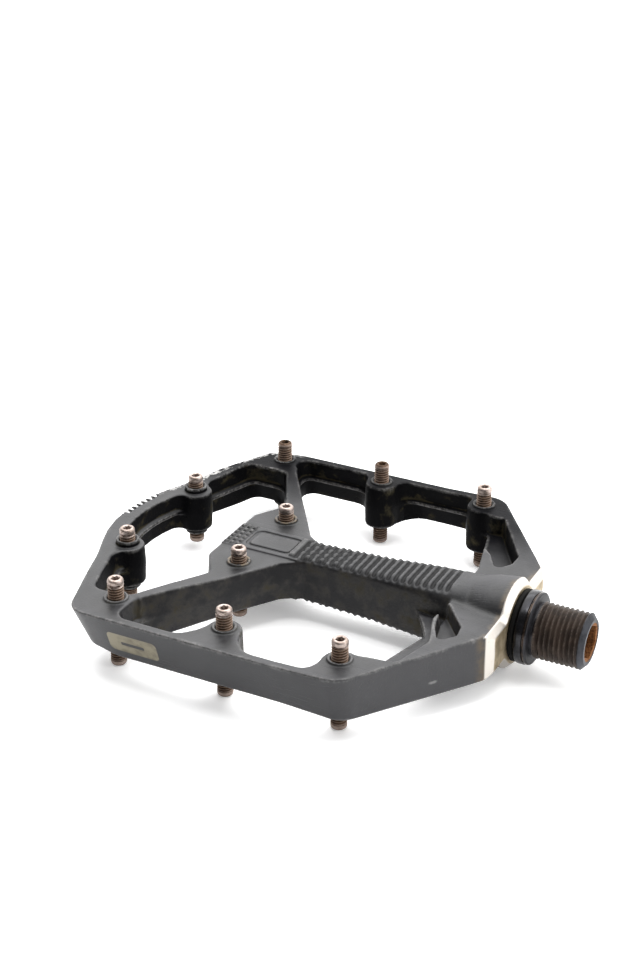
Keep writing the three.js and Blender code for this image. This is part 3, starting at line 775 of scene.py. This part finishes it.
def stains_and_milling(p, on, color):
    """Rusty rings round the centre pins, grime beside the milled edge, and the milled metal itself."""
    centre = p.product(p.step(p.size(p.y), 20, 16), p.step(p.x, -90, -88))
    color = p.mix(p.product(on.boss, centre, p.step(on.fine, 0.4, 0.6), 0.75), color, (0.2, 0.14, 0.07))
    grime = p.product(p.step(p.x, -8.2, -6.9), p.step(p.x, -4.9, -5.0), p.step(on.cloudy, 0.35, 0.6), 0.7)
    color = p.mix(grime, color, (0.09, 0.064, 0.036))
    stained = p.mix(p.step(on.cloudy, 0.35, 0.7), (0.42, 0.35, 0.24), (0.2, 0.16, 0.1))
    milled = p.mix(on.face, (0.5, 0.47, 0.43), stained)
    milled = p.mix(p.product(p.step(on.fine, 0.6, 0.75), 0.5), milled, (0.3, 0.25, 0.2))
    return p.mix(on.machined, color, milled)


def body_paint():
    """Black forged alloy: matt and dusty, with painted shade in its pockets and hollows, bright along worn
    edges with painted highlight lines, bare where the face was machined.
    """
    p = Paint("worn_black_alloy")
    on = BodyAreas(p)
    mud, dust = mud_share(p, on), dust_share(p, on)
    scuffs = p.noise(1.6, 5, 0.7, stretch=(1.6, 1.6, 0.8), shift=11)
    bare = bare_share(p, on, scuffs)
    color = p.mix(mud, black_coat_with_painted_shade(p, on), (0.042, 0.036, 0.021))
    color = p.mix(dust, color, (0.07, 0.069, 0.074))
    color = rubbed_edges_and_painted_highlights(p, on, wall_marks(p, on, color))
    color = p.mix(bare, color, p.mix(scuffs, (0.16, 0.158, 0.155), (0.4, 0.395, 0.385)))
    color = stains_and_milling(p, on, color)

    roughness = p.sum(0.36, p.product(on.broad, 0.12), p.product(mud, 0.5), p.product(dust, 0.3))
    roughness = p.blend(bare, roughness, 0.38)
    milled = p.sum(0.3, p.product(on.fine, 0.15), p.product(on.face, 0.2))
    roughness = p.blend(on.machined, roughness, milled)
    scratches = p.noise(1.2, 2, stretch=(9, 0.35, 1), turn=(0, 0, 0.5))
    grain = p.bump(p.noise(0.45, 3, 0.6, shift=2), 0.035)
    grain = p.bump(p.product(p.step(scratches, 0.6, 0.63), p.step(on.broad, 0.4, 0.6)), -0.02, grain)
    grain = p.bump(bare, -0.04, grain)
    grooves = p.product(on.ridges, p.step(on.edge, 0.1, -0.04))
    flats = p.blend(p.step(p.y, 8, 36), p.blend(grooves, 0.38, 0.1), 0.035)
    gloss = p.blend(on.sides, flats, p.blend(on.inner, 0.2, p.blend(on.dusty, 0.02, 0.15)))
    return p.surface(color, p.most(on.machined, bare), roughness, grain, Specular_IOR_Level=gloss)


def pin_paint():
    """Grub screws: rusty black steel in the threads, rubbed to a pinkish silver at the tip."""
    p = Paint("rusted_pin_steel")
    worn, crest = p.attribute("worn"), p.attribute("crest")
    blotch, fine = p.noise(1.3, 4, 0.6), p.noise(0.4, 3, shift=4)
    rust = p.mix(p.step(blotch, 0.35, 0.65), (0.05, 0.028, 0.016), (0.11, 0.062, 0.034))
    rust = p.mix(p.step(fine, 0.55, 0.7), rust, (0.025, 0.019, 0.016))
    # Thread crests painted lighter: partly rubbed wear, partly painted highlight.
    rubbed = p.product(p.step(p.sum(crest, p.product(fine, 0.5)), 0.75, 1.1), 0.6)
    rust = p.mix(rubbed, rust, (0.3, 0.22, 0.17))
    bright = p.step(p.sum(worn, p.product(crest, 0.2), p.product(p.sum(blotch, -0.5), 0.6)), 0.4, 0.7)
    silver = p.mix(p.step(blotch, 0.4, 0.65), (0.4, 0.335, 0.305), (0.26, 0.205, 0.175))
    color = p.mix(bright, rust, silver)
    roughness = p.blend(bright, p.sum(0.55, p.product(fine, 0.3)), p.sum(0.33, p.product(fine, 0.25)))
    return p.surface(color, p.blend(bright, 0.55, 1.0), roughness, p.bump(fine, 0.03))


def steel_paint(name, dark, light, roughness, stain=None, stain_share=0.0):
    """Plain turned steel with fine turning marks, light wear and an optional stain."""
    p = Paint(name)
    broad, fine = p.noise(3, 4), p.noise(0.35, 3, stretch=(0.3, 3, 3))
    color = p.mix(p.step(p.sum(p.product(broad, 0.7), p.product(fine, 0.3)), 0.35, 0.65), dark, light)
    metallic, dulled = 1.0, p.product(broad, 0.06)
    if stain:
        patch = p.product(p.step(p.noise(2.2, 5, 0.65, shift=9), 0.42, 0.62), stain_share)
        color = p.mix(patch, color, stain)
        metallic, dulled = p.blend(patch, 1.0, 0.4), p.product(patch, 0.3)
    rough = p.sum(roughness, p.product(fine, 0.15), dulled)
    return p.surface(color, metallic, rough, p.bump(fine, 0.01))


def spindle_paint():
    """The spindle: black collar, brown oily thread, grey ring at the tip and rust in the key socket."""
    p = Paint("spindle_steel")
    broad, fine = p.noise(3, 4), p.noise(0.5, 4, shift=5)
    across = p.length(p.y, p.z)
    thread = p.step(p.x, 0.3, 1.2)
    socket = p.product(p.step(p.x, 5, 6), p.step(across, 4.95, 4.75))
    tip = p.product(p.step(p.x, 11.9, 12.4), p.step(across, 4.8, 4.95))
    color = p.mix(p.step(broad, 0.35, 0.65), (0.009, 0.009, 0.0105), (0.02, 0.02, 0.023))
    oily = p.mix(p.step(broad, 0.35, 0.65), (0.022, 0.016, 0.0125), (0.042, 0.03, 0.023))
    # Thread crests painted lighter: partly rubbed wear, partly painted highlight.
    oily = p.mix(p.step(p.product(p.attribute("crest"), fine), 0.42, 0.62), oily, (0.07, 0.055, 0.046))
    color = p.mix(thread, color, oily)
    color = p.mix(tip, color, p.mix(p.step(broad, 0.4, 0.6), (0.014, 0.015, 0.018), (0.03, 0.032, 0.038)))
    color = p.mix(socket, color, p.mix(p.step(fine, 0.4, 0.6), (0.09, 0.035, 0.012), (0.2, 0.085, 0.03)))
    ring = p.product(p.step(p.x, -1.15, -1.0), p.step(p.x, -0.4, -0.6), p.step(broad, 0.35, 0.55))
    color = p.mix(p.product(ring, 0.6), color, (0.085, 0.056, 0.036))
    inside = p.step(p.x, -8.2, -8.6)
    color = p.mix(inside, color, p.mix(fine, (0.4, 0.39, 0.37), (0.55, 0.54, 0.53)))
    front = p.product(p.step(p.x, -0.35, -0.1), p.step(p.x, 0.5, 0.3))
    grimy = p.product(p.most(front, thread), p.rest(inside))
    roughness = p.sum(0.14, p.product(fine, 0.12), p.product(grimy, 0.3), p.product(socket, 0.3))
    gloss, metallic = p.blend(grimy, 0.5, 0.12), p.blend(grimy, 0.7, 0.15)
    return p.surface(color, metallic, roughness, p.bump(fine, 0.015), Specular_IOR_Level=gloss)


def rubber_paint(name, shade):
    p = Paint(name)
    broad, fine = p.noise(4, 3), p.noise(0.3, 3)
    color = p.mix(broad, (shade * 0.7,) * 3, (shade * 1.5, shade * 1.45, shade * 1.35))
    dust = p.step(p.noise(1.1, 4, shift=6), 0.58, 0.75)
    color = p.mix(p.product(dust, 0.25), color, (0.05, 0.045, 0.035))
    rough = p.sum(0.6, p.product(fine, 0.2), p.product(dust, 0.2))
    return p.surface(color, 0.0, rough, p.bump(fine, 0.03), Specular_IOR_Level=0.06)


def polymer_paint(name, dark, light):
    p = Paint(name)
    broad, fine = p.noise(2.5, 4), p.noise(0.25, 3)
    color = p.mix(p.step(broad, 0.3, 0.7), dark, light)
    return p.surface(color, 0.0, p.sum(0.35, p.product(fine, 0.2)), p.bump(fine, 0.012))


# ---- Pins ----


def pin_rows(length, cap):
    """Rows of a grub screw: the floor of its key socket, its cap, and the thread down to its hidden end."""
    socket, radius = 1.9, PIN_RADIUS
    rows = [(length - 2, 0, None, socket), (length - 2, radius, None, socket)]
    rows += [(length - 0.2, radius, None, socket), (length - 0.1, 1.15, None, None)]
    for share in np.linspace(0, 1, 6):
        bend = share * math.pi / 2
        rows.append((length - 0.8 * (1 - math.cos(bend)), radius - 0.7 * (1 - math.sin(bend)), None, None))
    rows += [(length - cap, radius, None, None), (length - cap - 0.15, radius - 0.28, None, None)]
    rows += thread_rows(length - cap - 0.25, 3.4, radius, 0.7, 0.42)
    rows += [(3.3, radius - 0.35, None, None), (0.2, radius - 0.35, None, None)]
    rows += [(0, radius - 0.6, None, None), (0, 0, None, None)]
    return rows


def build_pins(material):
    steps = 36
    for index, (name, x, y, tip) in enumerate(PINS):
        low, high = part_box(name)
        length = (high.z - low.z) / MM
        threaded = y > 30 and "inner" not in name
        rows = pin_rows(length, 0.9 if threaded else 1.35)
        vertices, faces = revolve(rows, steps)
        dice = np.random.default_rng(index)
        spin = dice.uniform(0, 2 * math.pi)
        along, a, b = vertices.T
        side_x = a * math.cos(spin) - b * math.sin(spin)
        side_y = a * math.sin(spin) + b * math.cos(spin)
        flip = math.copysign(1, tip)
        upright = np.stack([side_x, side_y * flip, along * flip], axis=1)
        base = Vector((x, y, tip - flip * length))
        place = upright * MM + np.array([SHOULDER, 0, 0]) + np.array(base) * MM
        piece = new_object(name.replace("pin_", "grub_screw_"), place, faces, material, sharp=50)
        depth = length - along
        worn = 1 - smooth_step(1.5, 2.1 + dice.uniform(0, 0.8), depth)
        vertex_values(piece, "worn", worn * (0.35 if threaded or flip < 0 else 1))
        vertex_values(piece, "crest", np.clip((np.hypot(a, b) - PIN_RADIUS + 0.35) / 0.3, 0, 1))
        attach(piece, PEDAL)
        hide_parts(name)


# ---- Spindle, seal, bush and bearing ----


def build_spindle(material):
    thread_radius, tip_x = 7.1, (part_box("spindle")[1].x - SHOULDER) / MM
    key_socket = [(tip_x - 7, 0), (tip_x - 7, 5, 8), (tip_x - 0.35, 5, 8), (tip_x, 4.85), (tip_x, 5.75)]
    rows = rows_from(key_socket, edge=0.1)
    rows += rows_from([(tip_x, 5.8), (tip_x - 0.25, 6.05), (tip_x - 1.15, thread_radius)], edge=0.2)
    rows += thread_rows(tip_x - 1.2, 0.9, thread_radius, 1.27, 0.62)
    front_ring = [(0.8, 6.6), (0, 6.6), (0, 8.85), (-0.3, 9.15), (-0.75, 9.15), (-0.85, 8.85)]
    collar = [(-1.05, 8.85), (-1.15, 9.3), (-2.95, 9.3), (-3.25, 8.9), (-3.25, 7.2), (-8.1, 7.2)]
    journal = [(-8.1, 5.5), (-18.3, 5.5), (-19.3, 4.9), (-60, 3.8), (-60.5, 3), (-61.98, 3)]
    bearing_end = [(-61.98, 2.45), (-70.4, 2.45), (-70.9, 1.9), (-70.9, 0)]
    rows += rows_from(front_ring + collar + journal + bearing_end, edge=0.18)
    piece = turned_piece("spindle_forging", rows, material, SPINDLE, "spindle", steps=120)
    places = np.array([v.co for v in piece.data.vertices]) / MM
    crest = np.clip((np.hypot(places[:, 1], places[:, 2]) - thread_radius + 0.5) / 0.5, 0, 1)
    vertex_values(piece, "crest", crest)


def sleeve(start, end, inner, outer, edge=0.15):
    return rows_from([(start, inner), (start, outer), (end, outer), (end, inner)], edge, closed=True)


def race_rows(outer_ring):
    """A ring of the ball bearing with its groove, from the bearing's pitch radius outwards or inwards."""
    low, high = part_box("bearing_outer_race")
    middle, half = ((low.x + high.x) / 2 - SHOULDER) / MM, (high.x - low.x) / 2 / MM
    way, wall = (1, 4.44) if outer_ring else (-1, 2.52)
    bends = np.radians(np.linspace(42, 138, 13))
    groove = [(middle + 0.65 * math.cos(a), 3.5 + way * 0.65 * math.sin(a)) for a in bends]
    lip = 3.5 + way * 0.42
    front, back = middle + half, middle - half
    corners = [(front, wall), (front, lip), *groove, (back, lip), (back, wall)]
    if outer_ring:
        corners = corners[::-1]
    return rows_from(corners, 0.08, closed=True)


def ball_places():
    return {n: sum(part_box(n), Vector()) / 2 for n in frame["nodes"] if n.startswith("bearing_ball_")}


def build_bearing(steel, cage_paint):
    outer, inner = race_rows(True), race_rows(False)
    turned_piece("bearing_outer_ring", outer, steel, PEDAL, "bearing_outer_race", closed=True)
    turned_piece("bearing_inner_ring", inner, steel, SPINDLE, "bearing_inner_race", closed=True)
    for name, centre in ball_places().items():
        bend = np.linspace(math.pi, 0, 17)
        radius = (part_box(name)[1].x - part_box(name)[0].x) / 2 / MM
        rows = [(radius * math.cos(b), max(0, radius * math.sin(b)), None, None) for b in bend]
        vertices, faces = revolve(rows[::-1], 32)
        ball = new_object(name + "_polished", vertices * MM + np.array(centre), faces, steel)
        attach(ball, BALLS)
        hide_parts(name)
    low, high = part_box("bearing_cage")
    middle = (low + high) / 2
    reach = (high - low) / 2 / MM
    corner = np.array(reach) + 0.4
    field = Field(-corner, corner, 0.1)
    ring = np.hypot(field.y, field.z) - 3.5
    cage = smooth_max(np.abs(ring) - 0.22, np.abs(field.x) - reach.x, 0.15)
    for centre in ball_places().values():
        at = (centre - middle) / MM
        window = np.sqrt((field.x - at.x) ** 2 + (field.y - at.y) ** 2 + (field.z - at.z) ** 2) - 0.68
        cage = smooth_max(cage, -window, 0.1)
    places, quads, _ = field.mesh(cage)
    piece = new_object("ball_cage", places * MM + np.array(middle), quads, cage_paint)
    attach(piece, BALLS)
    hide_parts("bearing_cage")


def build_turned_pieces(paints):
    seal = [(-3.4, 7.32), (-3.4, 8.8), (-3.7, 9.1), (-4.5, 9.1), (-4.8, 8.8)]
    seal += [(-4.8, 8.24), (-8.15, 8.24), (-8.15, 7.32)]
    nut = [(-65.9, 2.55), (-65.9, 3.45, 7), (-66.2, 4.04, 7)]
    nut += [(-68.4, 4.04, 7), (-68.7, 3.45, 7), (-68.7, 2.55)]
    turns, thickness = np.arange(24) * math.pi / 12, 0.46
    o_ring = [(-81.4 + thickness * math.cos(a), 3.9 + thickness * math.sin(a), None, None) for a in turns]
    washer = sleeve(-65.1, -65.7, 2.55, 3.05, 0.08)
    for name, rows, paint, body, slot, node in (
        ("rubber_seal", rows_from(seal, 0.1, closed=True), "rubber", PEDAL, "seal", "inner_seal"),
        ("plain_bush", sleeve(-9.0, -18.45, 5.6, 6.54, 0.3), "bush", PEDAL, "bushing", "inner_bushing"),
        ("nut_washer", washer, "plated", SPINDLE, "bearing", "lock_washer"),
        ("spindle_nut", rows_from(nut, 0.1, closed=True), "plated", SPINDLE, "bearing", "lock_nut"),
        ("cap_o_ring", o_ring, "rubber", PEDAL, "seal", "end_cap_o_ring"),
    ):
        turned_piece(name, rows, paints[paint], body, node, closed=True)
    plug = [(-79.2, 0), (-79.2, 4.2), (-80.8, 4.2), (-80.8, 3.4), (-82, 3.4), (-82, 4.38), (-84.6, 4.38)]
    key_socket = [(-84.9, 4.0), (-84.9, 2.5), (-84.7, 2.31, 4), (-82.0, 2.31, 4), (-82.0, 0)]
    turned_piece("bore_plug", rows_from(plug + key_socket), paints["cap"], PEDAL, "end_cap")


# ---- Floor, light and camera ----


def build_floor():
    """A large pale floor under the lower pins."""
    p = Paint("pale_floor")
    shade = p.mix(p.noise(300, 2), (0.93, 0.93, 0.93), (0.96, 0.96, 0.96))
    glow = {"Emission_Color": (1.0, 1.0, 1.0, 1.0), "Emission_Strength": 0.3}
    material = p.surface(shade, 0.0, 0.7, p.bump(p.noise(2, 2), 0.01), **glow)
    size, level = 3.0, cad_low.z
    corners = [(-size, -size, level), (size, -size, level), (size, size, level), (-size, size, level)]
    floor = new_object("studio_floor", corners, [(0, 1, 2, 3)], material)


def build_light():
    """A pale surround, brighter behind the pedal and darker towards the camera, and three soft boxes."""
    scene = bpy.context.scene
    world = bpy.data.worlds.new("studio")
    world.use_nodes = True
    scene.world = world
    tree = world.node_tree
    tree.nodes.clear()
    kinds = ("TexCoord", "SeparateXYZ", "MapRange", "LightPath", "Mix")
    nodes = {kind: tree.nodes.new("ShaderNode" + kind) for kind in kinds}
    tree.links.new(nodes["TexCoord"].outputs["Generated"], nodes["SeparateXYZ"].inputs[0])
    tree.links.new(nodes["SeparateXYZ"].outputs[1], nodes["MapRange"].inputs["Value"])
    for key, value in (("From Min", -0.7), ("From Max", 0.7), ("To Min", 0.1), ("To Max", 2.15)):
        nodes["MapRange"].inputs[key].default_value = value
    nodes["Mix"].data_type = "FLOAT"
    tree.links.new(nodes["LightPath"].outputs["Is Camera Ray"], nodes["Mix"].inputs[0])
    tree.links.new(nodes["MapRange"].outputs["Result"], nodes["Mix"].inputs[2])
    nodes["Mix"].inputs[3].default_value = 1.0
    background, output = tree.nodes.new("ShaderNodeBackground"), tree.nodes.new("ShaderNodeOutputWorld")
    background.inputs["Color"].default_value = (1, 1, 1, 1)
    tree.links.new(nodes["Mix"].outputs[0], background.inputs["Strength"])
    tree.links.new(background.outputs[0], output.inputs[0])
    for name, place, size, power in (
        ("overhead_softbox", (-0.1, 0.3, 0.8), 1.1, 12.0),
        ("side_softbox", (0.6, 0.1, 0.35), 0.5, 2.0),
        ("spot_softbox", (0.08, -0.12, 0.75), 0.14, 0.9),
    ):
        lamp = bpy.data.lights.new(name, "AREA")
        lamp.size, lamp.energy = size, power
        holder = bpy.data.objects.new(name, lamp)
        scene.collection.objects.link(holder)
        holder.location = place
        holder.rotation_euler = (-Vector(place)).to_track_quat("-Z", "Y").to_euler()


def build_camera():
    """The camera, by its place, its bearing round the pedal, its angle of looking down and its roll."""
    azimuth, elevation, roll = math.radians(26.43), math.radians(26.19), math.radians(0.62)
    place = Vector((166.1, -350.02, 218.91)) * MM
    level = math.cos(elevation)
    back = Vector((math.sin(azimuth) * level, -math.cos(azimuth) * level, math.sin(elevation)))
    data = bpy.data.cameras.new("studio_camera")
    data.sensor_width, data.lens = 36, 65.35
    camera = bpy.data.objects.new("studio_camera", data)
    bpy.context.scene.collection.objects.link(camera)
    turn = (-back).to_track_quat("-Z", "Y").to_matrix() @ Matrix.Rotation(roll, 3, "Z")
    camera.matrix_world = Matrix.Translation(place) @ turn.to_4x4()
    data.clip_start, data.clip_end = 0.01, 20
    bpy.context.scene.camera = camera


# ---- Assembly ----

build_body(body_paint())
build_pins(pin_paint())
build_spindle(spindle_paint())
bright_steel = steel_paint("bearing_steel", (0.55, 0.55, 0.56), (0.75, 0.75, 0.76), 0.12)
build_bearing(bright_steel, polymer_paint("cage_polymer", (0.06, 0.05, 0.035), (0.1, 0.085, 0.06)))
plated = ((0.35, 0.34, 0.3), (0.5, 0.49, 0.44), 0.3, (0.12, 0.07, 0.03), 0.5)
capped = ((0.015, 0.015, 0.017), (0.03, 0.03, 0.033), 0.4, (0.07, 0.06, 0.04), 0.5)
build_turned_pieces(
    {
        "rubber": rubber_paint("black_rubber", 0.004),
        "bush": polymer_paint("bush_polymer", (0.07, 0.06, 0.045), (0.12, 0.1, 0.075)),
        "plated": steel_paint("plated_steel", *plated),
        "cap": steel_paint("cap_alloy", *capped),
    }
)
build_floor()
build_light()
build_camera()
bpy.context.scene.view_settings.view_transform = "Standard"
